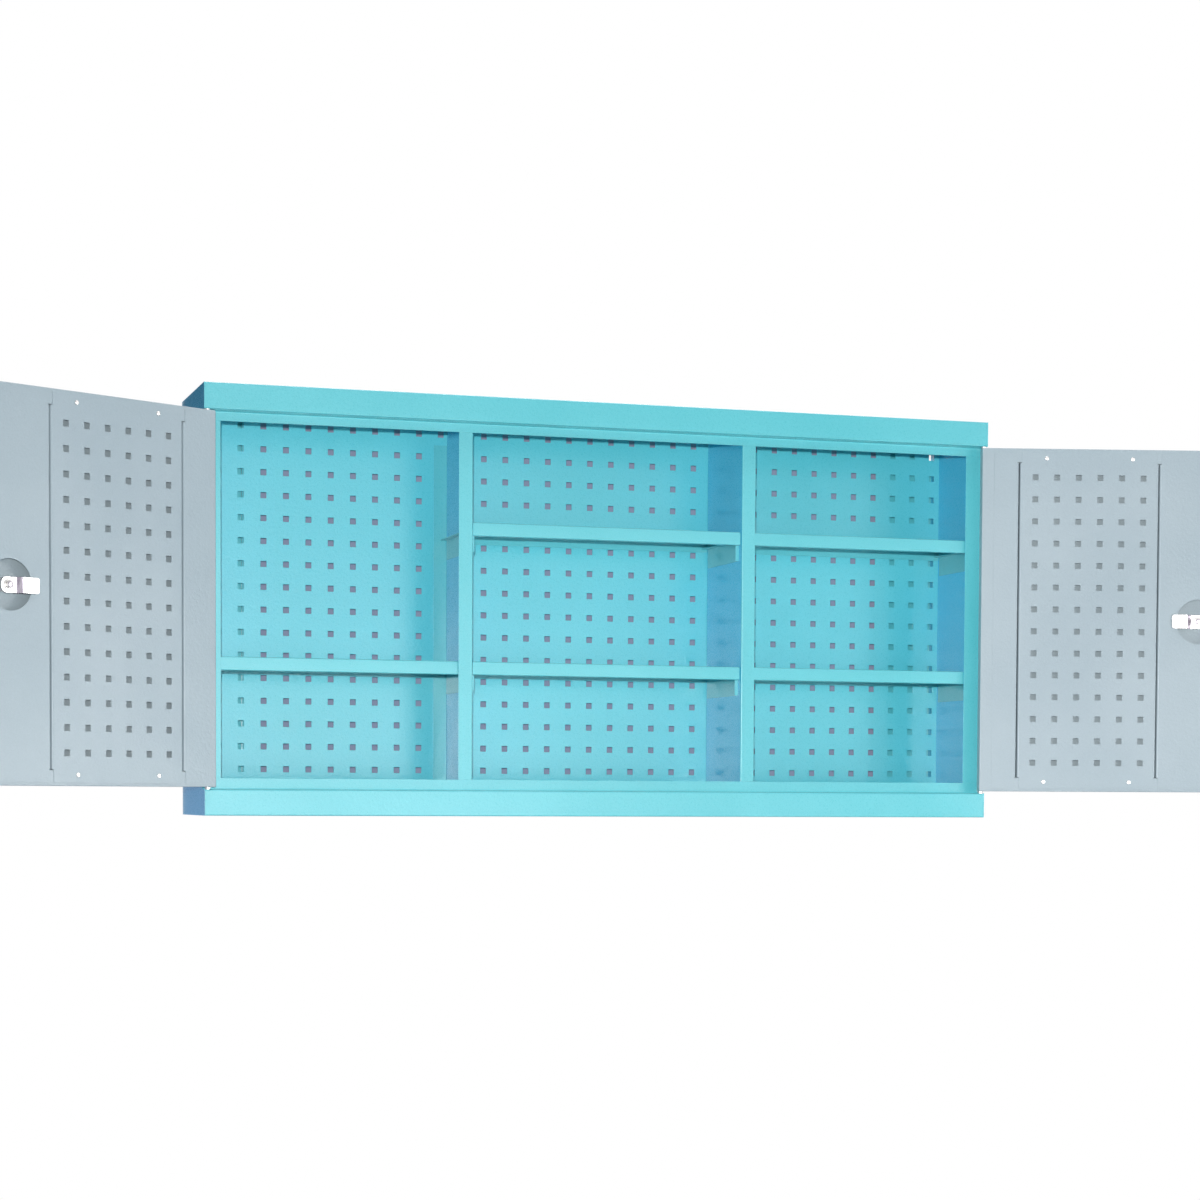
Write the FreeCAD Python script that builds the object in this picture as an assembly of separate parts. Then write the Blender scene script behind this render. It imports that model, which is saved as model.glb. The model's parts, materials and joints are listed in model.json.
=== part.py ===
import FreeCAD
import Part
import math
import os

# Steel wall cabinet with three bays, a perforated back panel, shelves and two swinging tool doors.
# Millimetres, X to the right, Y into the wall, Z up. The origin lies on the wall, amid its fixings.

# Carcass
cabinet_width = 1362.0
cabinet_height = 685.0
cabinet_depth = 235.0
carcass_sheet = 1.2
band_height = 42.0
door_recess = 24.0
cap_lip = 18.0
side_lip = 30.0
rear_flange = 24.0

# Perforation, shared by the back panel and the tool panels
hole_pitch = 38.0
hole_side = 10.0

# Back panel, the space behind it for hook ends, and the plain border of its field of holes in each bay
back_space = 38.0
back_sheet = 1.2
field_border = 48.0

# Wall rails: angles behind the first columns of holes at least rail_inset in from the sides. Their wall fixings
# stand in these columns, in the first rows at least fixing_inset in from the top and the bottom
rail_sheet = 2.0
rail_inner_reach = 47.0
rail_outer_reach = 22.0
rail_flange = 12.0
rail_end_gap = 6.0
rail_flange_gap = 4.0
rail_inset = 50.0
wall_hole_radius = 4.5
fixing_inset = 60.0

# Dividers: channels that open away from the middle bay
middle_bay = 471.0
divider_flange = 24.0

# Shelves: folded trays on ledges
upper_shelf_height = 140.0
lower_shelf_height = -88.0
shelf_sheet = 1.0
shelf_front_flange = 22.0
shelf_side_flange = 14.0
shelf_hem = 8.0
shelf_end_gap = 1.0
shelf_front_gap = 2.8
shelf_back_gap = 2.8

# Shelf supports: angles with a front tab
support_sheet = 1.5
support_ledge = 12.0
support_leg = 34.0
support_tab = 6.0
support_front_gap = 2.0
support_back_gap = 4.0

# Doors, whose pivots stand in their outer corners, pivot_inset from the hinge edge and from the outer face
left_door_open = 151.3
right_door_open = 165.9
door_sheet = 1.0
door_thickness = 22.0
door_return = 24.0
door_end_gap = 3.5
door_side_gap = 0.5
door_meeting_gap = 3.0
door_stop_gap = 1.5
pivot_inset = 5.0

# Inner sheets of a door, which lap its return lips
inner_sheet = 1.0
inner_end_gap = 5.0
inner_lap = 3.0
inner_fold = 12.0
fold_end_gap = 1.0
sheet_gap = 3.0
tool_panel_start = 61.5
tool_panel_width = 243.0
tool_side_border = 20.0
tool_end_border = 16.0

# Pivots: a shouldered stud on each band, in a hole of the door's edge
pin_radius = 3.0
pin_reach = 12.0
shoulder_radius = 4.7
shoulder_gap = 0.3
running_gap = 0.06
seat_gap = 0.05

# Locks: a turn knob through the skin and a cranked cam behind the divider's flange
lock_distance = 378.0
lock_opening_radius = 38.5
housing_side = 20.0
housing_depth = 13.5
rosette_side = 36.0
rosette_thickness = 3.0
spindle_radius = 7.0
grip_gap = 0.3
grip_length = 34.0
grip_taper = 5.0
grip_width = 15.0
grip_height = 16.0
square_side = 8.0
cam_gap = 0.4
cam_sheet = 2.5
cam_width = 24.0
cam_tail = 12.0
cam_crank_start = 12.0
cam_crank_end = 21.0
cam_reach = 48.0
cam_stand_off = 3.7
stud_radius = 3.0
stud_end = 1.5

overrun = 1.0

# Planes and places that several pieces share
half_width = cabinet_width / 2
half_height = cabinet_height / 2
inside_half_width = half_width - carcass_sheet
inside_half_height = half_height - carcass_sheet
carcass_back = -rail_sheet
lip_front = -(cabinet_depth - door_recess)
lip_back = lip_front + carcass_sheet
band_edge = half_height - band_height
lip_edge = band_edge - cap_lip
back_face = -back_space
web_face = middle_bay / 2
web_back = web_face + carcass_sheet
flange_tip = web_face + divider_flange
flange_front = back_face - carcass_sheet
shelf_front = lip_back + shelf_front_gap
shelf_back = flange_front - shelf_back_gap

# The perforation's columns stand half a pitch off the middle, and its rows on the middle
def column_x(index):
    return hole_pitch / 2 + index * hole_pitch


def row_z(index):
    return index * hole_pitch


rail_x = column_x(int((half_width - rail_inset - hole_pitch / 2) / hole_pitch))
wall_hole_z = row_z(int((half_height - fixing_inset) / hole_pitch))

# Door places: s runs along the door from its pivot, and Y is that of the closed door
pivot_x = half_width - door_side_gap - pivot_inset
inner_face = lip_front - door_stop_gap
outer_face = inner_face - door_thickness
pivot_y = outer_face + pivot_inset
lip_face = inner_face - inner_sheet
skin_inside = outer_face + door_sheet
door_half_height = band_edge - door_end_gap
door_free_end = pivot_x - door_meeting_gap / 2
inner_half_height = door_half_height - inner_end_gap
opening_half_height = door_half_height - door_return
fold_half_height = opening_half_height - fold_end_gap
tool_panel_end = tool_panel_start + tool_panel_width
lock_panel_start = tool_panel_end + sheet_gap
lock_x = lock_distance - pivot_x

x_axis = FreeCAD.Vector(1, 0, 0)
y_axis = FreeCAD.Vector(0, 1, 0)
z_axis = FreeCAD.Vector(0, 0, 1)
middle = FreeCAD.Vector(0, 0, 0)


# Drawing and solid helpers
def in_space(along, a, b, c):
    places = {"x": (c, a, b), "y": (a, c, b), "z": (a, b, c)}
    return FreeCAD.Vector(*places[along])


def outline_wire(points, along, level):
    corners = [in_space(along, a, b, level) for a, b in points]
    return Part.makePolygon(corners + corners[:1])


def prism(points, along, start, end, openings=()):
    wires = [outline_wire(points, along, start)]
    wires += [outline_wire(opening, along, start) for opening in openings]
    face = Part.makeFace(wires, "Part::FaceMakerBullseye")
    return face.extrude(in_space(along, 0, 0, end - start))


def rectangle(low_a, high_a, low_b, high_b):
    return [(low_a, low_b), (high_a, low_b), (high_a, high_b), (low_a, high_b)]


def folded(path, thickness):
    # the outline of a sheet bent along path, with its thickness on the path's left
    sides = []
    for (ax, ay), (bx, by) in zip(path, path[1:]):
        length = math.hypot(bx - ax, by - ay)
        sides.append(((ay - by) / length, (bx - ax) / length))
    inside = []
    for i, (x, y) in enumerate(path):
        before = sides[max(i - 1, 0)]
        after = sides[min(i, len(sides) - 1)]
        reach = thickness / (1 + before[0] * after[0] + before[1] * after[1])
        inside.append((x + (before[0] + after[0]) * reach, y + (before[1] + after[1]) * reach))
    return list(path) + inside[::-1]


def upright(x, y, radius, low, high):
    return Part.makeCylinder(radius, high - low, FreeCAD.Vector(x, y, low), z_axis)


def through_door(radius, start, end):
    # a round bar along the lock's axis, between two Y places of the closed door
    return Part.makeCylinder(radius, end - start, FreeCAD.Vector(lock_x, start, 0), y_axis)


def lock_square(side, start, end):
    half = side / 2
    return prism(rectangle(lock_x - half, lock_x + half, -half, half), "y", start, end)


def joined(first, *others):
    return first.fuse(list(others)).removeSplitter()


def flipped_x(shape):
    return shape.mirror(middle, x_axis)


def flipped_z(shape):
    return shape.mirror(middle, z_axis)


# Carcass
def top_cap():
    path = [
        (carcass_back, half_height - rear_flange),
        (carcass_back, half_height),
        (-cabinet_depth, half_height),
        (-cabinet_depth, band_edge),
        (lip_front, band_edge),
        (lip_front, lip_edge),
    ]
    return prism(folded(path, carcass_sheet), "x", -inside_half_width, inside_half_width)


def left_side_panel():
    path = [
        (-half_width + rear_flange, carcass_back),
        (-half_width, carcass_back),
        (-half_width, lip_front),
        (-half_width + side_lip, lip_front),
    ]
    wall = prism(folded(path, carcass_sheet), "z", -lip_edge, lip_edge)
    outline = [
        (carcass_back, -half_height),
        (-cabinet_depth, -half_height),
        (-cabinet_depth, -band_edge),
        (lip_front, -band_edge),
        (lip_front, band_edge),
        (-cabinet_depth, band_edge),
        (-cabinet_depth, half_height),
        (carcass_back, half_height),
    ]
    return joined(wall, prism(outline, "x", -half_width, -inside_half_width))


def square_hole(a, b):
    half = hole_side / 2
    return rectangle(a - half, a + half, b - half, b + half)


def back_panel():
    # a field of holes in each bay, and the holes that a screwdriver reaches the wall fixings through
    margin = field_border + hole_side / 2
    columns = []
    for i in range(int(half_width / hole_pitch)):
        x = column_x(i)
        in_middle_bay = x + margin < web_face
        in_outer_bay = flange_tip + margin < x < half_width - side_lip - margin
        if in_middle_bay or in_outer_bay:
            columns += [-x, x]
    row_reach = int((lip_edge - margin) / hole_pitch)
    places = {(x, row_z(i)) for x in columns for i in range(-row_reach, row_reach + 1)}
    places |= {(x, z) for x in (-rail_x, rail_x) for z in (-wall_hole_z, wall_hole_z)}
    holes = [square_hole(x, z) for x, z in sorted(places)]
    sheet = rectangle(-inside_half_width, inside_half_width, -inside_half_height, inside_half_height)
    return prism(sheet, "y", back_face, back_face + back_sheet, holes)


def right_wall_rail():
    low_x = rail_x - rail_inner_reach
    high_x = rail_x + rail_outer_reach
    rail_half = half_height - rail_end_gap
    flange_half = half_height - rear_flange - rail_flange_gap
    path = [(high_x, 0), (low_x, 0), (low_x, -rail_flange)]
    angle = prism(folded(path, rail_sheet), "z", -flange_half, flange_half)
    rail = joined(angle, prism(rectangle(low_x, high_x, -rail_half, rail_half), "y", carcass_back, 0))
    for z in (-wall_hole_z, wall_hole_z):
        centre = FreeCAD.Vector(rail_x, carcass_back - overrun, z)
        rail = rail.cut(Part.makeCylinder(wall_hole_radius, rail_sheet + overrun * 2, centre, y_axis))
    return rail


def right_divider():
    path = [(flange_tip, back_face), (web_face, back_face), (web_face, lip_front), (flange_tip, lip_front)]
    channel = prism(folded(path, carcass_sheet), "z", -lip_edge, lip_edge)
    web = rectangle(web_face, web_back, lip_back, back_face)
    return joined(channel, prism(web, "z", -inside_half_height, inside_half_height))


def shelf(low_x, high_x, top):
    path = [
        (shelf_back, top - shelf_side_flange),
        (shelf_back, top),
        (shelf_front, top),
        (shelf_front, top - shelf_front_flange),
        (shelf_front + shelf_hem, top - shelf_front_flange),
    ]
    tray = prism(folded(path, shelf_sheet), "x", low_x, high_x)
    end = rectangle(shelf_front, shelf_back, top - shelf_side_flange, top)
    left_end = prism(end, "x", low_x, low_x + shelf_sheet)
    right_end = prism(end, "x", high_x - shelf_sheet, high_x)
    return joined(tray, left_end, right_end)


def shelf_support(wall_x, inward, top):
    # an angle on a wall at wall_x, with its ledge towards the shelf; inward is +1 or -1
    ledge = top - shelf_side_flange
    front = shelf_front + shelf_hem + support_front_gap
    back = shelf_back - support_back_gap
    foot = ledge - support_leg
    path = [(wall_x + inward * support_ledge, ledge), (wall_x, ledge), (wall_x, foot)]
    angle = prism(folded(path, inward * support_sheet), "y", front, back)
    low_x, high_x = sorted((wall_x, wall_x + inward * support_tab))
    tab = prism(rectangle(low_x, high_x, foot, ledge), "y", front, front + support_sheet)
    return joined(angle, tab)


def bay_supports(low_wall, high_wall):
    supports = []
    for top in (upper_shelf_height, lower_shelf_height):
        supports.append(shelf_support(low_wall, 1, top))
        supports.append(shelf_support(high_wall, -1, top))
    return Part.makeCompound(supports)


def pivot_studs():
    studs = []
    for x in (-pivot_x, pivot_x):
        pin = upright(x, pivot_y, pin_radius, band_edge - pin_reach, band_edge)
        stud = joined(pin, upright(x, pivot_y, shoulder_radius, door_half_height + shoulder_gap, band_edge))
        studs += [stud, flipped_z(stud)]
    return Part.makeCompound(studs)


# Doors, drawn closed and on the left
def along(s):
    return s - pivot_x


def door_skin():
    low_s = along(-pivot_inset)
    high_s = along(door_free_end)
    wall = door_sheet
    outside = prism(rectangle(low_s, high_s, outer_face, lip_face), "z", -door_half_height, door_half_height)
    hollow = rectangle(low_s + wall, high_s - wall, skin_inside, lip_face - wall)
    inside = prism(hollow, "z", wall - door_half_height, door_half_height - wall)
    mouth = rectangle(low_s + door_return, high_s - door_return, -opening_half_height, opening_half_height)
    opening = prism(mouth, "y", lip_face - wall - overrun, lip_face + overrun)
    skin = outside.cut([inside, opening])
    hole_end = door_half_height - wall - overrun
    pivot_hole = upright(along(0), pivot_y, pin_radius + running_gap, hole_end, door_half_height + overrun)
    lock_hole = lock_square(housing_side + seat_gap * 2, outer_face - overrun, skin_inside + overrun)
    return skin.cut([pivot_hole, flipped_z(pivot_hole), lock_hole])


def inner_panel(face, folds, openings=()):
    # a sheet on the return lips with its facing edges folded back into the door
    low_s, high_s = face
    outline = rectangle(along(low_s), along(high_s), -inner_half_height, inner_half_height)
    panel = prism(outline, "y", lip_face, inner_face, openings)
    deep = inner_face - inner_fold
    strips = []
    for s in folds:
        low_x, high_x = sorted((along(s), along(s) + math.copysign(inner_sheet, (low_s + high_s) / 2 - s)))
        strip = rectangle(low_x, high_x, deep, inner_face)
        strips.append(prism(strip, "z", -fold_half_height, fold_half_height))
    return joined(panel, *strips)


def hinge_stile():
    start = door_return - pivot_inset - inner_lap
    end = tool_panel_start - sheet_gap
    return inner_panel((start, end), [end])


def tool_panel():
    spaces = int((tool_panel_width - tool_side_border * 2) / hole_pitch)
    first_x = along(tool_panel_start + (tool_panel_width - spaces * hole_pitch) / 2)
    row_pairs = int((opening_half_height - tool_end_border + hole_pitch / 2) / hole_pitch)
    columns = [first_x + i * hole_pitch for i in range(spaces + 1)]
    rows = [column_x(i) for i in range(-row_pairs, row_pairs)]
    holes = [square_hole(x, z) for x in columns for z in rows]
    return inner_panel((tool_panel_start, tool_panel_end), [tool_panel_start, tool_panel_end], holes)


def lock_panel():
    panel = inner_panel((lock_panel_start, door_free_end - inner_lap), [lock_panel_start])
    return panel.cut(through_door(lock_opening_radius, lip_face - overrun, inner_face + overrun))


# Locks, drawn with the door closed and the cam turned towards the hinge
housing_end = skin_inside + housing_depth
hub_level = housing_end + cam_gap
hub_top = hub_level + cam_sheet
pad_level = inner_face + cam_stand_off
rosette_front = outer_face - rosette_thickness


def lock_housing():
    body = lock_square(housing_side, outer_face, housing_end)
    rosette = lock_square(rosette_side, rosette_front, outer_face)
    bore = through_door(spindle_radius + running_gap, rosette_front - overrun, housing_end + overrun)
    return joined(body, rosette).cut(bore)


def lock_spindle():
    grip_back = rosette_front - grip_gap
    grip_front = grip_back - grip_height
    grip_start = lock_x - grip_length / 2
    grip_end = grip_start + grip_length
    outline = [
        (grip_start, grip_back),
        (grip_start + grip_taper, grip_front),
        (grip_end - grip_taper, grip_front),
        (grip_end, grip_back),
    ]
    grip = prism(outline, "z", -grip_width / 2, grip_width / 2)
    shaft = through_door(spindle_radius, grip_back, hub_level)
    square = lock_square(square_side, hub_level, hub_top)
    stud = through_door(stud_radius, hub_top, inner_face + stud_end)
    return joined(shaft, grip, square, stud)


def lock_cam():
    path = [
        (lock_x + cam_tail, hub_top),
        (lock_x - cam_crank_start, hub_top),
        (lock_x - cam_crank_end, pad_level + cam_sheet),
        (lock_x - cam_reach, pad_level + cam_sheet),
    ]
    lever = prism(folded(path, cam_sheet), "z", -cam_width / 2, cam_width / 2)
    return lever.cut(lock_square(square_side + seat_gap * 2, hub_level - overrun, hub_top + overrun))


def door_pieces():
    return {
        "door_skin": door_skin(),
        "hinge_stile": hinge_stile(),
        "tool_panel": tool_panel(),
        "lock_panel": lock_panel(),
        "lock_housing": lock_housing(),
        "lock_spindle": lock_spindle(),
        "lock_cam": lock_cam(),
    }


# Assembly
def carcass_pieces():
    left_side = left_side_panel()
    top = top_cap()
    rail = right_wall_rail()
    divider = right_divider()
    wall = inside_half_width
    near = web_back + shelf_end_gap
    far = wall - shelf_end_gap
    inner = web_face - shelf_end_gap
    return {
        "top_cap": top,
        "bottom_cap": flipped_z(top),
        "left_side_panel": left_side,
        "right_side_panel": flipped_x(left_side),
        "back_panel": back_panel(),
        "left_wall_rail": flipped_x(rail),
        "right_wall_rail": rail,
        "left_divider": flipped_x(divider),
        "right_divider": divider,
        "left_lower_shelf": shelf(-far, -near, lower_shelf_height),
        "middle_upper_shelf": shelf(-inner, inner, upper_shelf_height),
        "middle_lower_shelf": shelf(-inner, inner, lower_shelf_height),
        "right_upper_shelf": shelf(near, far, upper_shelf_height),
        "right_lower_shelf": shelf(near, far, lower_shelf_height),
        "left_shelf_supports": bay_supports(-wall, -web_back),
        "middle_shelf_supports": bay_supports(-web_face, web_face),
        "right_shelf_supports": bay_supports(web_back, wall),
        "pivot_studs": pivot_studs(),
    }


def all_pieces():
    pieces = carcass_pieces()
    for name, shape in door_pieces().items():
        left_pivot = FreeCAD.Vector(-pivot_x, pivot_y, 0)
        right_pivot = FreeCAD.Vector(pivot_x, pivot_y, 0)
        pieces["left_" + name] = shape.rotated(left_pivot, z_axis, -left_door_open)
        pieces["right_" + name] = flipped_x(shape).rotated(right_pivot, z_axis, right_door_open)
    return pieces


os.makedirs("parts", exist_ok=True)
for node, shape in all_pieces().items():
    shape.exportStep(os.path.join("parts", node + ".step"))
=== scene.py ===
import json
import math

import bmesh
import bpy
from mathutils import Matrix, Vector


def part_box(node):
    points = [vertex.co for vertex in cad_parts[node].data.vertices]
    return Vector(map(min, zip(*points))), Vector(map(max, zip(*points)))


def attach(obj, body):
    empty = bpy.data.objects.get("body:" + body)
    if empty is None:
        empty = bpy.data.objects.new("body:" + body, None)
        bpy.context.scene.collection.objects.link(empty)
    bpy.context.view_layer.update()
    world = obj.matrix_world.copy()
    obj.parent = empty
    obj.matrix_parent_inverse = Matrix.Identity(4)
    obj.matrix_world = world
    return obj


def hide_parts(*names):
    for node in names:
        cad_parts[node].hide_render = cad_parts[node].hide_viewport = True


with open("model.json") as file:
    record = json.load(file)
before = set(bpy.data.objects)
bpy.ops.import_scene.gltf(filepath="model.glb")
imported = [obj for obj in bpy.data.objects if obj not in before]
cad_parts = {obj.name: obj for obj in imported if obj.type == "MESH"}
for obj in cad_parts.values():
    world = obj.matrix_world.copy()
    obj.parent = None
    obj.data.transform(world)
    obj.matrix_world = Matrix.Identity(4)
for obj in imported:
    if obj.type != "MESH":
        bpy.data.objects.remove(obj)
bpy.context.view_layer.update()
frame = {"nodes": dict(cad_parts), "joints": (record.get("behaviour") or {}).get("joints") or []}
nodes = frame["nodes"]
joints = {joint["name"]: joint for joint in frame["joints"]}
mm = 0.001
near = 1e-5  # two places closer than this are one place
foldAngle = math.radians(40)  # sharper than this, an edge is a fold or stays a hard edge
cutAngle = math.radians(50)  # sharper than this, an edge is a cut edge of the sheet
print("frame loaded:", len(nodes), "nodes")

# camera, solved on the square holes of the back panel
photoView = {
    "place": (-1341.4, -4396.8, -306.9),
    "turnDegrees": (87.547, -0.276, -17.585),
    "lens": 78.62,
    "sensor": 36,
    "shiftY": 0.2562,  # the photograph's level lies well below its middle
    "farthest": 50,
}


def setCamera():
    bpy.ops.object.camera_add(
        location=[value * mm for value in photoView["place"]],
        rotation=[math.radians(value) for value in photoView["turnDegrees"]],
    )
    camera = bpy.context.object
    camera.data.sensor_width = photoView["sensor"]
    camera.data.lens = photoView["lens"]
    camera.data.shift_y = photoView["shiftY"]
    camera.data.clip_end = photoView["farthest"]
    bpy.context.scene.camera = camera


setCamera()
print("camera set")


# small tools for working by hand in edit mode
def deselectAll():
    if bpy.context.mode != "OBJECT":
        bpy.ops.object.mode_set(mode="OBJECT")
    bpy.ops.object.select_all(action="DESELECT")


def makeActive(piece):
    deselectAll()
    piece.select_set(True)
    bpy.context.view_layer.objects.active = piece


def startEditing(piece, kind="EDGE"):
    makeActive(piece)
    bpy.ops.object.mode_set(mode="EDIT")
    bpy.ops.mesh.select_mode(type=kind)


def doneEditing():
    bpy.ops.object.mode_set(mode="OBJECT")


def selectWhole():
    bpy.ops.mesh.select_all(action="SELECT")


def pick(piece, kind, test):
    # selects the verts, edges or faces that pass the test
    bpy.ops.mesh.select_mode(type=kind)
    bpy.ops.mesh.select_all(action="DESELECT")
    mesh = bmesh.from_edit_mesh(piece.data)
    parts = {"VERT": mesh.verts, "EDGE": mesh.edges, "FACE": mesh.faces}[kind]
    for part in parts:
        if test(part):
            part.select_set(True)
    bmesh.update_edit_mesh(piece.data)


def liesAt(edge, axis, place):
    return all(abs(vert.co[axis] - place) < near for vert in edge.verts)


def pickEdgesAt(piece, axis, place, within=None, reach=0.0):
    # the edges that lie at a place on an axis, and inside +-reach on another one
    def isThere(edge):
        inside = within is None or all(abs(vert.co[within]) < reach + near for vert in edge.verts)
        return inside and liesAt(edge, axis, place)

    pick(piece, "EDGE", isThere)


def pull(x, y, z):
    bpy.ops.mesh.extrude_region_move(TRANSFORM_OT_translate={"value": (x, y, z)})


def applyPlacing():
    bpy.ops.object.transform_apply(location=True, rotation=True, scale=True)


def useModifier(piece, kind, **values):
    makeActive(piece)
    modifier = piece.modifiers.new(kind.lower(), kind)
    for key, value in values.items():
        setattr(modifier, key, value)
    bpy.ops.object.modifier_apply(modifier=modifier.name)


def newPlane(name, corners):
    # a plane laid on four corners
    deselectAll()
    bpy.ops.mesh.primitive_plane_add(size=1)
    piece = bpy.context.object
    piece.name = name
    order = [0, 1, 3, 2]
    for index, corner in zip(order, corners):
        piece.data.vertices[index].co = corner
    return piece


def newCylinder(name, sides, radius, depth, place):
    # a cylinder along Y
    deselectAll()
    bpy.ops.mesh.primitive_cylinder_add(
        vertices=sides, radius=radius, depth=depth, location=place, rotation=(math.pi / 2, 0, 0),
    )
    piece = bpy.context.object
    piece.name = name
    applyPlacing()
    return piece


def joinTo(piece, others):
    deselectAll()
    for part in (piece, *others):
        part.select_set(True)
    bpy.context.view_layer.objects.active = piece
    bpy.ops.object.join()


def bendFolds(piece, radius, segments=4):
    startEditing(piece)

    def isFold(edge):
        return len(edge.link_faces) == 2 and edge.calc_face_angle() > foldAngle

    pick(piece, "EDGE", isFold)
    bpy.ops.mesh.bevel(offset=radius, segments=segments, affect="EDGES", clamp_overlap=True)
    doneEditing()


def faceOut(piece, outward):
    # turns the sheet so that its first face looks outward, before it gets its thickness
    if piece.data.polygons[0].normal.dot(Vector(outward)) < 0:
        startEditing(piece, "FACE")
        selectWhole()
        bpy.ops.mesh.flip_normals()
        doneEditing()


def thicken(piece, sheet):
    useModifier(piece, "SOLIDIFY", thickness=sheet, offset=-1, use_even_offset=True)


def softenEdges(piece, edge, segments):
    useModifier(
        piece, "BEVEL", width=edge, segments=segments, limit_method="ANGLE",
        angle_limit=cutAngle, use_clamp_overlap=True,
    )
    makeActive(piece)
    bpy.ops.object.shade_smooth_by_angle(angle=foldAngle)


def giveThickness(piece, sheet, edge=0.25 * mm, segments=2):
    thicken(piece, sheet)
    softenEdges(piece, edge, segments)


def foldedStrip(name, profile, span, place):
    # a strip that starts on the profile's first leg and is pulled on along the rest of it
    low, high = span
    first, second = profile[0], profile[1]
    corners = [place(first, low), place(second, low), place(second, high), place(first, high)]
    piece = newPlane(name, corners)
    startEditing(piece)
    for here, there in zip(profile[1:], profile[2:]):
        ends = [place(here, low), place(here, high)]

        def isOpenEnd(edge):
            return all(min((vert.co - end).length for end in ends) < near / 10 for vert in edge.verts)

        pick(piece, "EDGE", isOpenEnd)
        pull(*(place(there, low) - place(here, low)))
    doneEditing()
    return piece


def alongX(point, x):
    return Vector((x, point[0], point[1]))


def alongZ(point, z):
    return Vector((point[0], point[1], z))


def standIn(piece, node, body):
    # weighted normals keep the flats flat beside their bends
    useModifier(piece, "WEIGHTED_NORMAL", keep_sharp=True, weight=100)
    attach(piece, body)
    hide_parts(node)


# paint and metal finishes
turquoiseCoat = {
    "cloud": 3.2, "rough": 0.32, "gloss": 0.45, "speck": 0.03,
    "grain": 700, "grainDepth": 0.00012, "peel": 210, "peelDepth": 0.0004,
}
paintLook = {
    "carcassPaint": {**turquoiseCoat, "dark": (0.083, 0.480, 0.530), "light": (0.110, 0.520, 0.572)},
    # painted light: a paler, brighter copy of the carcass paint for the back panel, standing in for the bounced
    # light and sheen that reach it
    "panelPaintedLight": {**turquoiseCoat, "dark": (0.088, 0.545, 0.625), "light": (0.112, 0.585, 0.67)},
    # painted shade: a bluer copy of the carcass paint, for the faces that lie in shade
    "shadePaint": {
        **turquoiseCoat, "dark": (0.052, 0.53, 0.78), "light": (0.070, 0.57, 0.83), "rough": 0.30, "gloss": 0.32,
    },
    "doorPaint": {
        "dark": (0.358, 0.434, 0.468), "light": (0.398, 0.472, 0.503),
        "cloud": 4.0, "rough": 0.36, "gloss": 0.22, "speck": 0.04,
        "grain": 700, "grainDepth": 0.00016, "peel": 200, "peelDepth": 0.0007,
    },
}
coat = {
    "cloudDetail": 3, "grainDetail": 2, "grainRough": 0.6, "speckSpan": (0.3, 0.7),
    "duller": 0.08, "glossier": 0.06, "clearRough": 0.2, "reliefStrength": 0.6,
}
metalLook = {
    "zincPlate": {
        "dark": (0.44, 0.43, 0.43), "light": (0.58, 0.57, 0.56), "rough": 0.30, "stretch": (420, 420, 40),
    },
    # painted shade: a darker copy of the zinc, for the slope of the crank
    "zincShade": {
        "dark": (0.26, 0.23, 0.29), "light": (0.40, 0.37, 0.42), "rough": 0.32, "stretch": (420, 420, 40),
    },
    "darkSteel": {
        "dark": (0.10, 0.08, 0.13), "light": (0.19, 0.16, 0.22), "rough": 0.34, "stretch": (700, 700, 700),
    },
}
plating = {"detail": 4, "streakRough": 0.6, "streakSpan": (0.3, 0.6), "duller": 0.1, "glossier": 0.08}


def newMaterial(name):
    material = bpy.data.materials.new(name)
    material.use_nodes = True
    tree = material.node_tree
    return material, tree, tree.nodes["Principled BSDF"]


def objectPoints(tree, scale=(1, 1, 1)):
    coordinates = tree.nodes.new("ShaderNodeTexCoord")
    mapping = tree.nodes.new("ShaderNodeMapping")
    mapping.inputs["Scale"].default_value = scale
    tree.links.new(coordinates.outputs["Object"], mapping.inputs["Vector"])
    return mapping.outputs["Vector"]


def noise(tree, points, scale, detail, roughness=0.5):
    node = tree.nodes.new("ShaderNodeTexNoise")
    node.inputs["Scale"].default_value = scale
    node.inputs["Detail"].default_value = detail
    node.inputs["Roughness"].default_value = roughness
    tree.links.new(points, node.inputs["Vector"])
    return node.outputs["Fac"]


def ramp(tree, value, low, high, span=(0.35, 0.65)):
    node = tree.nodes.new("ShaderNodeValToRGB")
    for stop, place, colour in zip(node.color_ramp.elements, span, (low, high)):
        stop.position = place
        stop.color = (*colour, 1)
    tree.links.new(value, node.inputs["Fac"])
    return node.outputs["Color"]


def grey(value):
    return (value, value, value)


def relief(tree, height, depth, below=None):
    bump = tree.nodes.new("ShaderNodeBump")
    bump.inputs["Strength"].default_value = coat["reliefStrength"]
    bump.inputs["Distance"].default_value = depth
    tree.links.new(height, bump.inputs["Height"])
    if below:
        tree.links.new(below, bump.inputs["Normal"])
    return bump.outputs["Normal"]


def mixColours(tree, blend, factor, first, second):
    mix = tree.nodes.new("ShaderNodeMix")
    mix.data_type = "RGBA"
    mix.blend_type = blend
    give(tree, mix.inputs["Factor"], factor)
    give(tree, mix.inputs["A"], first)
    give(tree, mix.inputs["B"], second)
    return mix.outputs["Result"]


def give(tree, socket, value):
    # a socket takes another node's output or a plain value
    if isinstance(value, bpy.types.NodeSocket):
        tree.links.new(value, socket)
    else:
        socket.default_value = value


def varyGloss(tree, shader, pattern, rough, kind):
    gloss = ramp(tree, pattern, grey(rough - kind["glossier"]), grey(rough + kind["duller"]))
    tree.links.new(gloss, shader.inputs["Roughness"])


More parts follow.
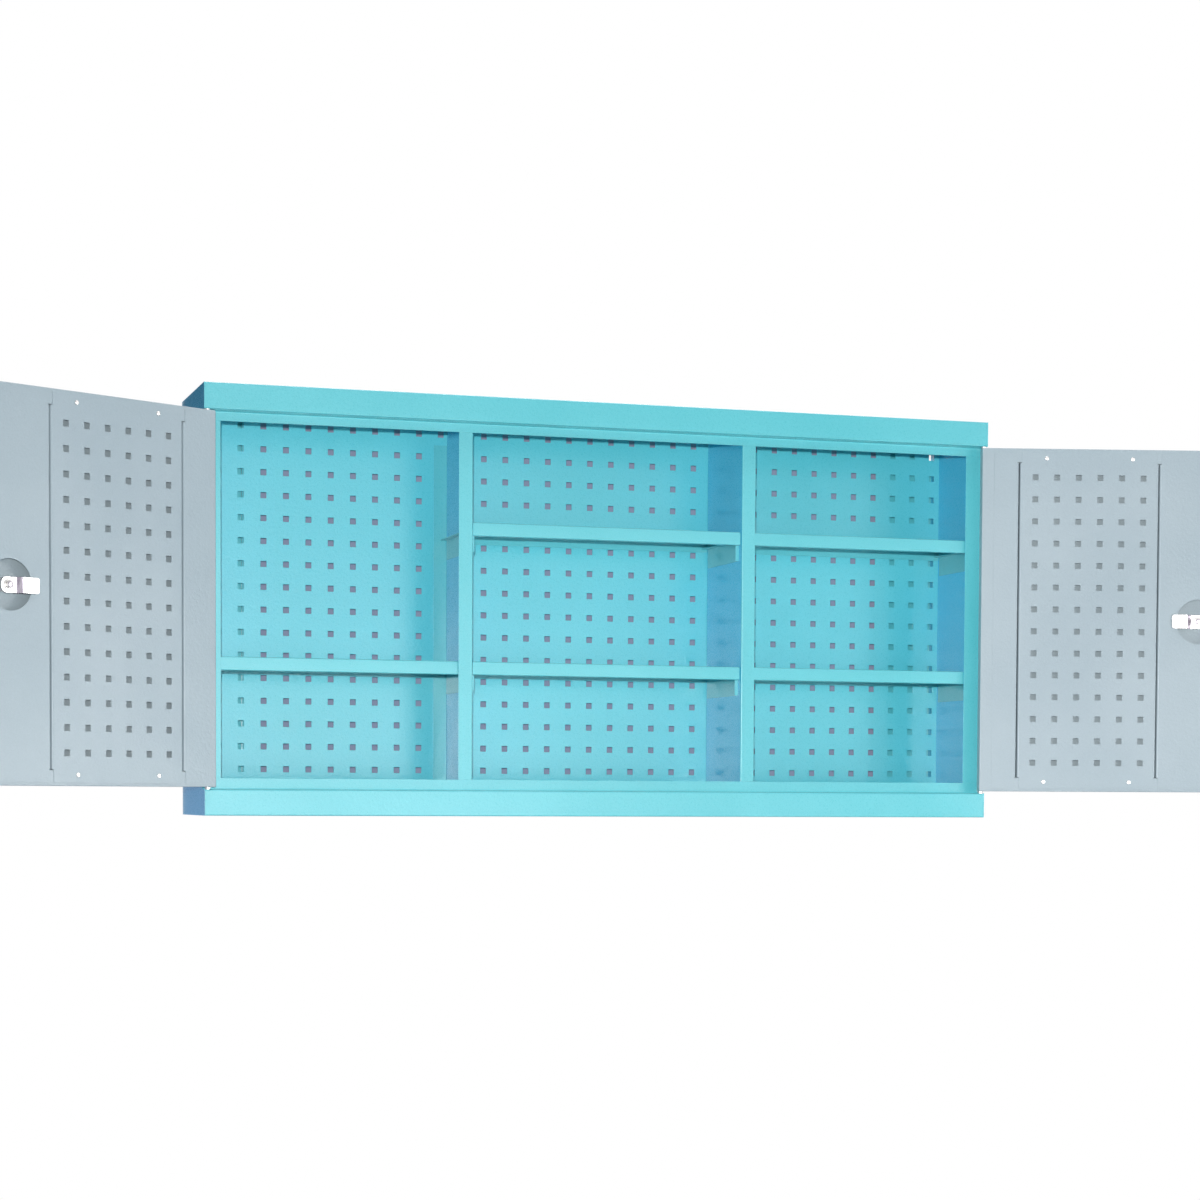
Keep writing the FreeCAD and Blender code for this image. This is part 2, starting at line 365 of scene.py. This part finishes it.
def powderCoat(name):
    look = paintLook[name]
    material, tree, shader = newMaterial(name)
    points = objectPoints(tree)
    clouds = noise(tree, points, look["cloud"], coat["cloudDetail"])
    base = ramp(tree, clouds, look["dark"], look["light"])
    grain = noise(tree, points, look["grain"], coat["grainDetail"], coat["grainRough"])
    specks = ramp(tree, grain, grey(1 - look["speck"]), grey(1 + look["speck"]), coat["speckSpan"])
    tree.links.new(mixColours(tree, "MULTIPLY", 1, base, specks), shader.inputs["Base Color"])
    varyGloss(tree, shader, grain, look["rough"], coat)
    # the coat is a little wavy, with a fine grain, and glints where it tilts to a lamp
    waves = noise(tree, points, look["peel"], coat["grainDetail"], coat["grainRough"])
    peel = relief(tree, waves, look["peelDepth"])
    tree.links.new(relief(tree, grain, look["grainDepth"], peel), shader.inputs["Normal"])
    tree.links.new(peel, shader.inputs["Coat Normal"])
    shader.inputs["Specular IOR Level"].default_value = look["gloss"]
    shader.inputs["Coat Weight"].default_value = look["gloss"]
    shader.inputs["Coat Roughness"].default_value = coat["clearRough"]
    return material


def platedMetal(name):
    look = metalLook[name]
    material, tree, shader = newMaterial(name)
    points = objectPoints(tree, look["stretch"])
    streaks = noise(tree, points, 1, plating["detail"], plating["streakRough"])
    colour = ramp(tree, streaks, look["dark"], look["light"], plating["streakSpan"])
    tree.links.new(colour, shader.inputs["Base Color"])
    varyGloss(tree, shader, streaks, look["rough"], plating)
    shader.inputs["Metallic"].default_value = 1
    return material


materials = {name: powderCoat(name) for name in paintLook}
materials.update({name: platedMetal(name) for name in metalLook})


def finish(piece, material):
    piece.data.materials.clear()
    piece.data.materials.append(materials[material])


def finishFaces(piece, material, test):
    # a second finish, on the faces that pass the test
    piece.data.materials.append(materials[material])
    for face in piece.data.polygons:
        if test(face):
            face.material_index = 1


print("finishes made:", len(materials))

# carcass sheets
carcass = {
    "sheet": 1.2 * mm, "bend": 2.2 * mm, "bandHeight": 42 * mm, "recess": 24 * mm,
    "lips": {1: 15 * mm, -1: 18 * mm}, "sideLip": 30 * mm, "flange": 24 * mm, "squareOn": 0.9,
}


def capSheet(name, node, side):
    low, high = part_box(node)
    edge = high.z if side > 0 else low.z
    band = edge - side * carcass["bandHeight"]
    profile = [
        (high.y, edge - side * carcass["flange"]),
        (high.y, edge),
        (low.y, edge),
        (low.y, band),
        (low.y + carcass["recess"], band),
        (low.y + carcass["recess"], band - side * carcass["lips"][side]),
    ]
    piece = foldedStrip(name, profile, (low.x, high.x), alongX)
    faceOut(piece, (0, 1, 0))
    bendFolds(piece, carcass["bend"])
    giveThickness(piece, carcass["sheet"])
    finish(piece, "carcassPaint")
    standIn(piece, node, "carcass")


def lipEdges(bandEdge):
    return {end: bandEdge - lip for end, lip in carcass["lips"].items()}


def webEnds(piece, face, levels, target):
    # carries the flat web on past the ends of its bent edges, up and down
    for end, level in levels.items():

        def isWebEnd(edge):
            return liesAt(edge, 0, face) and liesAt(edge, 2, end * level)

        pick(piece, "EDGE", isWebEnd)
        pull(0, 0, end * (target - level))


def webSides(piece, place, levels, reach):
    # widens what was carried on, at the side that lies at a place in Y
    def isWebSide(edge):
        first, second = (vert.co.z for vert in edge.verts)
        end = 1 if first > 0 else -1
        beyond = min(end * first, end * second) > levels[end] - near
        return beyond and abs(first - second) > 10 * near and liesAt(edge, 1, place)

    pick(piece, "EDGE", isWebSide)
    pull(0, reach, 0)


def shadeSides(piece):
    # painted shade: the faces square to the front get a bluer copy of the paint, standing in for the bluer look
    # of the shade on them
    finishFaces(piece, "shadePaint", lambda face: abs(face.normal.x) > carcass["squareOn"])


def sidePanelSheet(name, node, side):
    low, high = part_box(node)
    face = low.x if side < 0 else high.x
    front = low.y + carcass["recess"]
    bandEdge = high.z - carcass["bandHeight"]
    levels = lipEdges(bandEdge)
    bandLevels = {-1: bandEdge, 1: bandEdge}
    bend = carcass["bend"]
    profile = [
        (face - side * carcass["sideLip"], front),
        (face, front),
        (face, high.y),
        (face - side * carcass["flange"], high.y),
    ]
    piece = foldedStrip(name, profile, (-levels[-1], levels[1]), alongZ)
    faceOut(piece, (0, -1, 0))
    bendFolds(piece, bend)
    startEditing(piece)
    webEnds(piece, face, levels, bandEdge)
    webEnds(piece, face, bandLevels, high.z)
    webSides(piece, high.y - bend, levels, bend)
    webSides(piece, front + bend, bandLevels, -carcass["recess"] - bend)
    doneEditing()
    giveThickness(piece, carcass["sheet"])
    finish(piece, "carcassPaint")
    shadeSides(piece)
    standIn(piece, node, "carcass")


def dividerSheet(name, node, side):
    low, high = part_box(node)
    web = low.x if side > 0 else high.x
    tip = high.x if side > 0 else low.x
    levels = lipEdges(high.z + carcass["sheet"] - carcass["bandHeight"])
    profile = [(tip, high.y), (web, high.y), (web, low.y), (tip, low.y)]
    piece = foldedStrip(name, profile, (-levels[-1], levels[1]), alongZ)
    faceOut(piece, (0, 1, 0))
    bendFolds(piece, carcass["bend"])
    startEditing(piece)
    webEnds(piece, web, levels, high.z)
    doneEditing()
    giveThickness(piece, carcass["sheet"])
    finish(piece, "carcassPaint")
    shadeSides(piece)
    standIn(piece, node, "carcass")


for side, end in ((1, "top"), (-1, "bottom")):
    capSheet(end + "CapSheet", end + "_cap", side)
for side, hand in ((-1, "left"), (1, "right")):
    sidePanelSheet(hand + "SideSheet", hand + "_side_panel", side)
    dividerSheet(hand + "DividerSheet", hand + "_divider", side)
print("carcass sheets folded")

# shelves
shelf = {
    "sheet": 1.0 * mm, "bend": 1.8 * mm, "front": 22 * mm, "rear": 20 * mm, "end": 14 * mm, "hem": 8 * mm,
    "nodes": (
        "left_lower_shelf", "middle_upper_shelf", "middle_lower_shelf", "right_upper_shelf", "right_lower_shelf",
    ),
}


def shelfTray(name, node):
    low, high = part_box(node)
    profile = [
        (high.y, high.z - shelf["rear"]),
        (high.y, high.z),
        (low.y, high.z),
        (low.y, high.z - shelf["front"]),
        (low.y + shelf["hem"], high.z - shelf["front"]),
    ]
    piece = foldedStrip(name, profile, (low.x, high.x), alongX)
    for x in (low.x, high.x):
        startEditing(piece)

        def isPlateEnd(edge):
            return liesAt(edge, 0, x) and liesAt(edge, 2, high.z)

        pick(piece, "EDGE", isPlateEnd)
        pull(0, 0, -shelf["end"])
        doneEditing()
    faceOut(piece, (0, 1, 0))
    bendFolds(piece, shelf["bend"])
    giveThickness(piece, shelf["sheet"])
    finish(piece, "carcassPaint")
    standIn(piece, node, "carcass")


for node in shelf["nodes"]:
    words = node.split("_")
    shelfTray(words[0] + words[1].title() + "Tray", node)
print("shelves folded")

# perforated sheets: one tile with its square hole, repeated by two arrays
perforation = {
    "pitch": 38 * mm, "hole": 10 * mm, "columns": 36, "rows": 17, "sheet": 1.2 * mm,
    "edge": 0.2 * mm, "edgeSteps": 1, "merge": 0.01 * mm,
}


def perforatedField(name, columns, rows, level):
    # a field of tiles round the middle, facing -Y
    pitch = perforation["pitch"]
    startX = -columns * pitch / 2
    startZ = -rows * pitch / 2
    endX = startX + pitch
    endZ = startZ + pitch
    tile = [(startX, startZ), (endX, startZ), (endX, endZ), (startX, endZ)]
    piece = newPlane(name, [Vector((x, level, z)) for x, z in tile])
    startEditing(piece, "FACE")
    selectWhole()
    bpy.ops.mesh.inset(thickness=(pitch - perforation["hole"]) / 2, use_boundary=True)
    bpy.ops.mesh.delete(type="FACE")
    doneEditing()
    for count, step in ((columns, (pitch, 0, 0)), (rows, (0, 0, pitch))):
        useModifier(
            piece, "ARRAY", count=count, use_relative_offset=False, use_constant_offset=True,
            constant_offset_displace=step, use_merge_vertices=True, merge_threshold=perforation["merge"],
        )
    return piece


def backPanelSheet():
    low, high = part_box("back_panel")
    piece = perforatedField("backPanelSheet", perforation["columns"], perforation["rows"], low.y)
    startEditing(piece)
    for x, normal in ((low.x, -1), (high.x, 1)):
        selectWhole()
        bpy.ops.mesh.bisect(plane_co=(x, 0, 0), plane_no=(normal, 0, 0), clear_outer=True)
    fieldEnd = perforation["rows"] * perforation["pitch"] / 2
    for end in (-1, 1):
        pickEdgesAt(piece, 2, end * fieldEnd)
        pull(0, 0, end * (high.z - fieldEnd))
    doneEditing()
    faceOut(piece, (0, -1, 0))
    giveThickness(piece, perforation["sheet"], perforation["edge"], perforation["edgeSteps"])
    # painted light: the back panel takes the brighter copy of the carcass paint
    finish(piece, "panelPaintedLight")
    standIn(piece, "back_panel", "carcass")


backPanelSheet()
print("back panel perforated")

# doors, made closed round their pivot: X along the door, Y inwards, and then swung to their place
door = {
    "sheet": 1.0 * mm, "bend": 1.6 * mm, "innerBend": 3.0 * mm, "thickness": 22 * mm, "return": 24 * mm,
    "pivotInset": 5 * mm, "halfHeight": 297 * mm, "innerHalfHeight": 292 * mm, "foldHalfHeight": 272 * mm,
    "fold": 12 * mm, "freeEnd": 674 * mm, "lap": 3 * mm, "panelGap": 3 * mm, "seam": 2.0 * mm,
    "panelStart": 61.5 * mm, "panelWidth": 243 * mm, "panelColumns": 6, "panelRows": 14,
    "openingRadius": 38.5 * mm, "openingSides": 96, "openingEdge": 0.25 * mm, "lockPlace": 378 * mm,
}
outerLevel = -door["pivotInset"]
innerLevel = outerLevel + door["thickness"]
lipLevel = innerLevel - door["sheet"]
panelMiddle = door["panelStart"] + door["panelWidth"] / 2
seamFill = (door["panelGap"] - door["seam"]) / 2  # the rounded folds close the gap by this much from each side


def swing(piece, hand):
    # from the closed door at the origin to the open one on its pivot
    joint = joints[hand + "_door_hinge"]
    openAngle = -math.radians(joint["range_deg"][0])
    sign = 1 if hand == "left" else -1
    makeActive(piece)
    piece.scale = (sign, 1, 1)
    piece.rotation_euler = (0, 0, -sign * openAngle)
    piece.location = joint["pos_m"]
    applyPlacing()
    if sign < 0:
        startEditing(piece, "FACE")
        selectWhole()
        bpy.ops.mesh.normals_make_consistent(inside=False)
        doneEditing()


def hangSheet(piece, hand, node):
    swing(piece, hand)
    finish(piece, "doorPaint")
    standIn(piece, hand + node, hand + "_door")


def doorSkinPan(hand):
    start = -door["pivotInset"]
    length = door["freeEnd"] - start
    height = door["halfHeight"] * 2
    depth = lipLevel - outerLevel
    deselectAll()
    bpy.ops.mesh.primitive_cube_add(size=1, location=(start + length / 2, (lipLevel + outerLevel) / 2, 0))
    piece = bpy.context.object
    piece.name = hand + "DoorPan"
    piece.scale = (length, depth, height)
    applyPlacing()
    startEditing(piece, "FACE")
    pick(piece, "FACE", facesInwards)
    bpy.ops.mesh.inset(thickness=door["return"], use_boundary=True)
    bpy.ops.mesh.delete(type="FACE")
    doneEditing()
    bendFolds(piece, door["bend"])
    giveThickness(piece, door["sheet"])
    hangSheet(piece, hand, "_door_skin")


def facesInwards(face):
    return face.normal.y > 0.9


def foldBack(piece, x):
    pickEdgesAt(piece, 0, x, 2, door["foldHalfHeight"])
    pull(0, -door["fold"], 0)


def flatEnds(piece):
    # carries the flat of an inner sheet on past the ends of its folds
    rise = door["innerHalfHeight"] - door["foldHalfHeight"]
    for end in (-1, 1):

        def isFlatEnd(edge):
            return liesAt(edge, 2, end * door["foldHalfHeight"]) and liesAt(edge, 1, innerLevel)

        startEditing(piece)
        pick(piece, "EDGE", isFlatEnd)
        pull(0, 0, end * rise)
        doneEditing()


def bendInnerSheet(piece):
    faceOut(piece, (0, 1, 0))
    bendFolds(piece, door["innerBend"])
    flatEnds(piece)


def plainInnerSheet(name, start, end, foldPlace):
    # a flat inner sheet, folded back along one edge
    level = door["foldHalfHeight"]
    corners = [(start, -level), (end, -level), (end, level), (start, level)]
    piece = newPlane(name, [Vector((x, innerLevel, z)) for x, z in corners])
    startEditing(piece)
    foldBack(piece, foldPlace)
    doneEditing()
    bendInnerSheet(piece)
    return piece


def hingeStileSheet(hand):
    start = door["return"] - door["pivotInset"] - door["lap"]
    end = door["panelStart"] - door["panelGap"] + seamFill
    piece = plainInnerSheet(hand + "HingeStile", start, end, end)
    giveThickness(piece, door["sheet"])
    hangSheet(piece, hand, "_hinge_stile")


def toolPanelSheet(hand):
    pitch = perforation["pitch"]
    piece = perforatedField(hand + "ToolPanel", door["panelColumns"], door["panelRows"], innerLevel)
    half = door["panelWidth"] / 2 + seamFill
    fieldSide = door["panelColumns"] * pitch / 2
    fieldEnd = door["panelRows"] * pitch / 2
    startEditing(piece)
    for side in (-1, 1):
        pickEdgesAt(piece, 0, side * fieldSide)
        pull(side * (half - fieldSide), 0, 0)
    for end in (-1, 1):
        pickEdgesAt(piece, 2, end * fieldEnd)
        pull(0, 0, end * (door["foldHalfHeight"] - fieldEnd))
    for side in (-1, 1):
        foldBack(piece, side * half)
    doneEditing()
    bendInnerSheet(piece)
    makeActive(piece)
    piece.location.x = panelMiddle
    applyPlacing()
    giveThickness(piece, door["sheet"], perforation["edge"], perforation["edgeSteps"])
    hangSheet(piece, hand, "_tool_panel")


def lockPanelSheet(hand):
    start = door["panelStart"] + door["panelWidth"] + door["panelGap"] - seamFill
    piece = plainInnerSheet(hand + "LockPanel", start, door["freeEnd"] - door["lap"], start)
    thicken(piece, door["sheet"])
    cutter = newCylinder(
        "openingCutter", door["openingSides"], door["openingRadius"], door["thickness"] / 2,
        (door["lockPlace"], innerLevel, 0),
    )
    useModifier(piece, "BOOLEAN", operation="DIFFERENCE", object=cutter, solver="EXACT")
    bpy.data.objects.remove(cutter)
    softenEdges(piece, door["openingEdge"], 2)
    hangSheet(piece, hand, "_lock_panel")


def copiesAt(piece, steps):
    # copies of a piece, each with its own mesh, joined with it
    copies = []
    for step in steps:
        makeActive(piece)
        bpy.ops.object.duplicate(linked=False)
        copy = bpy.context.object
        copy.location = step
        copies.append(copy)
    joinTo(piece, copies)
    applyPlacing()


rivet = {
    "radius": 3.6 * mm, "rise": 1.3 * mm, "eye": 1.1 * mm, "fromMiddle": 75.5 * mm, "height": 280 * mm,
    "sides": 20, "dome": 0.8, "domeSteps": 3, "eyeDepth": 0.6,  # dome and eye depth as shares of the rise
}


def panelRivets(hand):
    # blind rivets: a low dome with the eye that its pin leaves
    rise = rivet["rise"]
    dome = rise * rivet["dome"]
    place = (panelMiddle - rivet["fromMiddle"], innerLevel + rise / 2, -rivet["height"])
    piece = newCylinder(hand + "PanelRivets", rivet["sides"], rivet["radius"], rise, place)
    startEditing(piece, "FACE")
    pick(piece, "FACE", facesInwards)
    bpy.ops.mesh.bevel(offset=dome, segments=rivet["domeSteps"], affect="EDGES")
    pick(piece, "FACE", lambda face: face.normal.y > 0.99 and len(face.verts) > 4)
    bpy.ops.mesh.inset(thickness=rivet["radius"] - dome - rivet["eye"])
    pull(0, -rise * rivet["eyeDepth"], 0)
    doneEditing()
    wide = rivet["fromMiddle"] * 2
    tall = rivet["height"] * 2
    copiesAt(piece, [(wide, 0, 0), (0, 0, tall), (wide, 0, tall)])
    bpy.ops.object.shade_smooth_by_angle(angle=foldAngle)
    swing(piece, hand)
    finish(piece, "zincPlate")
    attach(piece, hand + "_door")


cam = {
    "sheet": 2.5 * mm, "width": 24 * mm, "tail": 12 * mm, "crankStart": 12 * mm, "crankEnd": 21 * mm,
    "reach": 48 * mm, "hubTop": -4.6 * mm, "padTop": 6.2 * mm, "bend": 3 * mm, "padCorner": 4 * mm,
    "tailCorner": 9 * mm, "cornerSteps": 5, "edge": 0.5 * mm, "edgeSteps": 3, "slope": 0.3,
}
lockPlace = door["lockPlace"]
hubTop = innerLevel + cam["hubTop"]


def lockCamLever(hand):
    padTop = innerLevel + cam["padTop"]
    half = cam["width"] / 2
    crankStart = lockPlace - cam["crankStart"]
    crankEnd = lockPlace - cam["crankEnd"]
    profile = [
        (lockPlace + cam["tail"], hubTop),
        (crankStart, hubTop),
        (crankEnd, padTop),
        (lockPlace - cam["reach"], padTop),
    ]
    piece = foldedStrip(hand + "CamLever", profile, (-half, half), alongZ)
    faceOut(piece, (0, 1, 0))
    bendFolds(piece, cam["bend"])
    for place, corner in ((profile[0][0], cam["tailCorner"]), (profile[-1][0], cam["padCorner"])):
        startEditing(piece, "VERT")
        pick(piece, "VERT", lambda vert: abs(vert.co.x - place) < near)
        bpy.ops.mesh.bevel(offset=corner, segments=cam["cornerSteps"], affect="VERTICES")
        doneEditing()
    giveThickness(piece, cam["sheet"], cam["edge"], cam["edgeSteps"])
    finish(piece, "zincPlate")

    def isCrank(face):
        return abs(face.normal.x) > cam["slope"] and crankEnd < face.center.x < crankStart

    finishFaces(piece, "zincShade", isCrank)  # painted shade: the slope of the crank gets a darker zinc, standing in for the dark that it mirrors
    swing(piece, hand)
    standIn(piece, hand + "_lock_cam", hand + "_lock")


camNut = {
    "washerRadius": 8 * mm, "washerRise": 1.2 * mm, "washerSides": 32, "washerEdge": 0.3 * mm,
    "flats": 10 * mm, "rise": 4.2 * mm, "chamfer": 0.8 * mm, "edge": 0.35 * mm, "edgeSteps": 2,
    "bore": 3.1 * mm, "boreDepth": 0.7, "collar": 4.2 * mm, "smooth": math.radians(35),
}


def camWasher():
    place = (lockPlace, hubTop + camNut["washerRise"] / 2, 0)
    washer = newCylinder(
        "camWasher", camNut["washerSides"], camNut["washerRadius"], camNut["washerRise"], place,
    )
    startEditing(washer, "FACE")
    pick(washer, "FACE", facesInwards)
    bpy.ops.mesh.bevel(offset=camNut["washerEdge"], segments=camNut["edgeSteps"], affect="EDGES")
    doneEditing()
    finish(washer, "zincPlate")
    return washer


def camNutWithWasher(hand):
    # a washer, and on it a hexagon nut with a dark collar round the stud's end
    washer = camWasher()
    seat = hubTop + camNut["washerRise"]
    top = seat + camNut["rise"]
    piece = newCylinder(
        hand + "CamNut", 6, camNut["flats"] / math.sqrt(3), camNut["rise"],
        (lockPlace, seat + camNut["rise"] / 2, 0),
    )
    startEditing(piece, "FACE")
    pick(piece, "FACE", facesInwards)
    bpy.ops.mesh.inset(thickness=camNut["flats"] / 2 - camNut["collar"])
    pull(0, camNut["chamfer"], 0)
    bpy.ops.mesh.inset(thickness=camNut["collar"] - camNut["bore"])
    pull(0, -camNut["rise"] * camNut["boreDepth"], 0)
    selectWhole()
    bpy.ops.mesh.bevel(offset=camNut["edge"], segments=camNut["edgeSteps"], affect="EDGES")
    doneEditing()
    finish(piece, "zincPlate")

    def isCollar(face):
        offset = Vector((face.center.x - lockPlace, face.center.z)).length
        return face.center.y > top + camNut["chamfer"] / 2 and offset < camNut["collar"]

    finishFaces(piece, "darkSteel", isCollar)
    joinTo(piece, [washer])
    bpy.ops.object.shade_smooth_by_angle(angle=camNut["smooth"])
    swing(piece, hand)
    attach(piece, hand + "_lock")


for hand in ("left", "right"):
    doorSkinPan(hand)
    hingeStileSheet(hand)
    toolPanelSheet(hand)
    lockPanelSheet(hand)
    panelRivets(hand)
    lockCamLever(hand)
    camNutWithWasher(hand)
print("doors and locks made")

# CAD nodes that stay as they are
keptNodes = {
    "carcassPaint": (
        "left_wall_rail", "right_wall_rail",
        "left_shelf_supports", "middle_shelf_supports", "right_shelf_supports",
    ),
    "zincPlate": (
        "pivot_studs", "left_lock_housing", "right_lock_housing", "left_lock_spindle", "right_lock_spindle",
    ),
}
for material, names in keptNodes.items():
    for name in names:
        finish(nodes[name], material)
print("kept nodes painted")

# stage: a pale floor far below, the wall that shows only through the holes, and a white surround
stage = {
    "floorDrop": 1.45, "floorRadius": 2.4, "floorSides": 96, "floorColour": (0.82, 0.82, 0.82), "floorRough": 0.8,
    "wallSize": (1.30, 0.63), "wallPlace": 0.5 * mm, "wallColour": (0.30, 0.25, 0.33), "wallRough": 0.9,
    "surround": 0.15, "surroundTint": (0.75, 0.96, 1.28),
}
# what only shows as a sheen: the wall beside the left end, and white cards low behind the camera and beside it
sheens = {
    "strip": {
        "y": 0.005, "x": (-1.6, -0.684), "z": (-0.8, 0.45), "fadeZ": (0.4, -0.4), "leastZ": 0.1,
        "level": 0.6, "tint": (0.7, 0.9, 1.4),
    },
    "card": {
        "y": -5.2, "x": (-0.5, 3.6), "z": (-2.6, 1.6), "fadeZ": (1.2, -0.3), "leastZ": 0.2,
        "fadeX": (3.4, 1.4), "leastX": 0.12, "level": 5.5, "tint": (1, 1, 1),
    },
    "sideCard": {
        "y": -2.2, "x": (1.75, 4.2), "z": (-1.6, 1.0), "fadeZ": (1.0, -0.3), "leastZ": 0.15,
        "level": 11.5, "tint": (1, 1, 1),
    },
}


def plainLook(piece, name, colour, rough):
    material, tree, shader = newMaterial(name)
    shader.inputs["Base Color"].default_value = (*colour, 1)
    shader.inputs["Roughness"].default_value = rough
    piece.data.materials.append(material)
    return tree, shader


def maths(tree, operation, first, second):
    node = tree.nodes.new("ShaderNodeMath")
    node.operation = operation
    give(tree, node.inputs[0], first)
    give(tree, node.inputs[1], second)
    return node.outputs[0]


def onRays(tree, *kinds):
    # 1 on rays of the named kinds
    light = tree.nodes.new("ShaderNodeLightPath")
    seen = light.outputs[kinds[0]]
    for kind in kinds[1:]:
        seen = maths(tree, "MAXIMUM", seen, light.outputs[kind])
    return seen


def clearUnless(tree, seen, surface):
    clear = tree.nodes.new("ShaderNodeBsdfTransparent")
    mix = tree.nodes.new("ShaderNodeMixShader")
    tree.links.new(seen, mix.inputs["Fac"])
    tree.links.new(clear.outputs[0], mix.inputs[1])
    tree.links.new(surface, mix.inputs[2])
    tree.links.new(mix.outputs[0], tree.nodes["Material Output"].inputs["Surface"])


def uprightPlane(name, spanX, spanZ, y):
    (left, right), (low, high) = spanX, spanZ
    corners = [(left, low), (right, low), (right, high), (left, high)]
    return newPlane(name, [Vector((x, y, z)) for x, z in corners])


def setFloor():
    deselectAll()
    bpy.ops.mesh.primitive_circle_add(
        vertices=stage["floorSides"], radius=stage["floorRadius"], fill_type="NGON",
    )
    floor = bpy.context.object
    floor.name = "floor"
    floor.location.z = -stage["floorDrop"]
    plainLook(floor, "floorPaint", stage["floorColour"], stage["floorRough"])


def setWall():
    # seen and mirrored from the front only, so the back stays open to view and to light
    halfWidth, halfHeight = (size / 2 for size in stage["wallSize"])
    wall = uprightPlane("wallBehind", (-halfWidth, halfWidth), (-halfHeight, halfHeight), stage["wallPlace"])
    faceOut(wall, (0, -1, 0))
    tree, shader = plainLook(wall, "wallPlaster", stage["wallColour"], stage["wallRough"])
    seen = onRays(tree, "Is Camera Ray", "Is Glossy Ray")
    side = tree.nodes.new("ShaderNodeNewGeometry")
    fromFront = maths(tree, "GREATER_THAN", seen, side.outputs["Backfacing"])
    clearUnless(tree, fromFront, shader.outputs[0])


def fade(tree, value, span, least):
    node = tree.nodes.new("ShaderNodeMapRange")
    node.inputs["From Min"].default_value, node.inputs["From Max"].default_value = span
    node.inputs["To Min"].default_value = least
    tree.links.new(value, node.inputs["Value"])
    return node.outputs["Result"]


def setSheen(name, card):
    # a card that is seen in the paint's sheen alone; it fades upwards, and one also to its side
    piece = uprightPlane(name, card["x"], card["z"], card["y"])
    material, tree, shader = newMaterial(name + "Glow")
    material.cycles.emission_sampling = "NONE"
    place = tree.nodes.new("ShaderNodeSeparateXYZ")
    tree.links.new(objectPoints(tree), place.inputs[0])
    level = fade(tree, place.outputs["Z"], card["fadeZ"], card["leastZ"])
    if "fadeX" in card:
        level = maths(tree, "MULTIPLY", level, fade(tree, place.outputs["X"], card["fadeX"], card["leastX"]))
    glow = tree.nodes.new("ShaderNodeEmission")
    glow.inputs["Color"].default_value = (*card["tint"], 1)
    tree.links.new(maths(tree, "MULTIPLY", level, card["level"]), glow.inputs["Strength"])
    clearUnless(tree, onRays(tree, "Is Glossy Ray"), glow.outputs[0])
    piece.data.materials.append(material)


def setSurround():
    # white where it is seen or mirrored, and dimmer where it lights the cabinet
    world = bpy.data.worlds.new("whiteSurround")
    bpy.context.scene.world = world
    world.use_nodes = True
    tree = world.node_tree
    background = tree.nodes["Background"]
    shown = onRays(tree, "Is Camera Ray", "Is Glossy Ray", "Is Transmission Ray")
    colour = mixColours(tree, "MIX", shown, (*stage["surroundTint"], 1), (1, 1, 1, 1))
    tree.links.new(colour, background.inputs["Color"])
    tree.links.new(fade(tree, shown, (0, 1), stage["surround"]), background.inputs["Strength"])


lamps = {
    # the key lamp stands by the camera, as a flash does, and looks to the right
    "keyLamp": {"place": (-1.38, -4.39, -0.155), "size": 0.06, "power": 165, "aim": (4.6, -0.2, 0)},
    "frontLamp": {"place": (0.3, -4.6, -0.6), "size": 2.0, "power": 14, "aim": (0, 0, 0)},
    "topLamp": {"place": (0.3, -0.6, 2.6), "size": 2.0, "power": 50, "aim": (0, 0, 0)},
    "backLamp": {"place": (1.2, 4.0, 1.4), "size": 2.5, "power": 140, "aim": (0, 0, 0)},
}


def setLamps():
    for name, lamp in lamps.items():
        deselectAll()
        bpy.ops.object.light_add(type="AREA", location=lamp["place"])
        light = bpy.context.object
        light.name = name
        light.data.size = lamp["size"]
        light.data.energy = lamp["power"]
        aim = Vector(lamp["aim"]) - Vector(lamp["place"])
        light.rotation_euler = aim.to_track_quat("-Z", "Y").to_euler()


setFloor()
setWall()
for name, card in sheens.items():
    setSheen(name, card)
setSurround()
setLamps()
bpy.context.scene.view_settings.view_transform = "Standard"
deselectAll()
print("stage set")
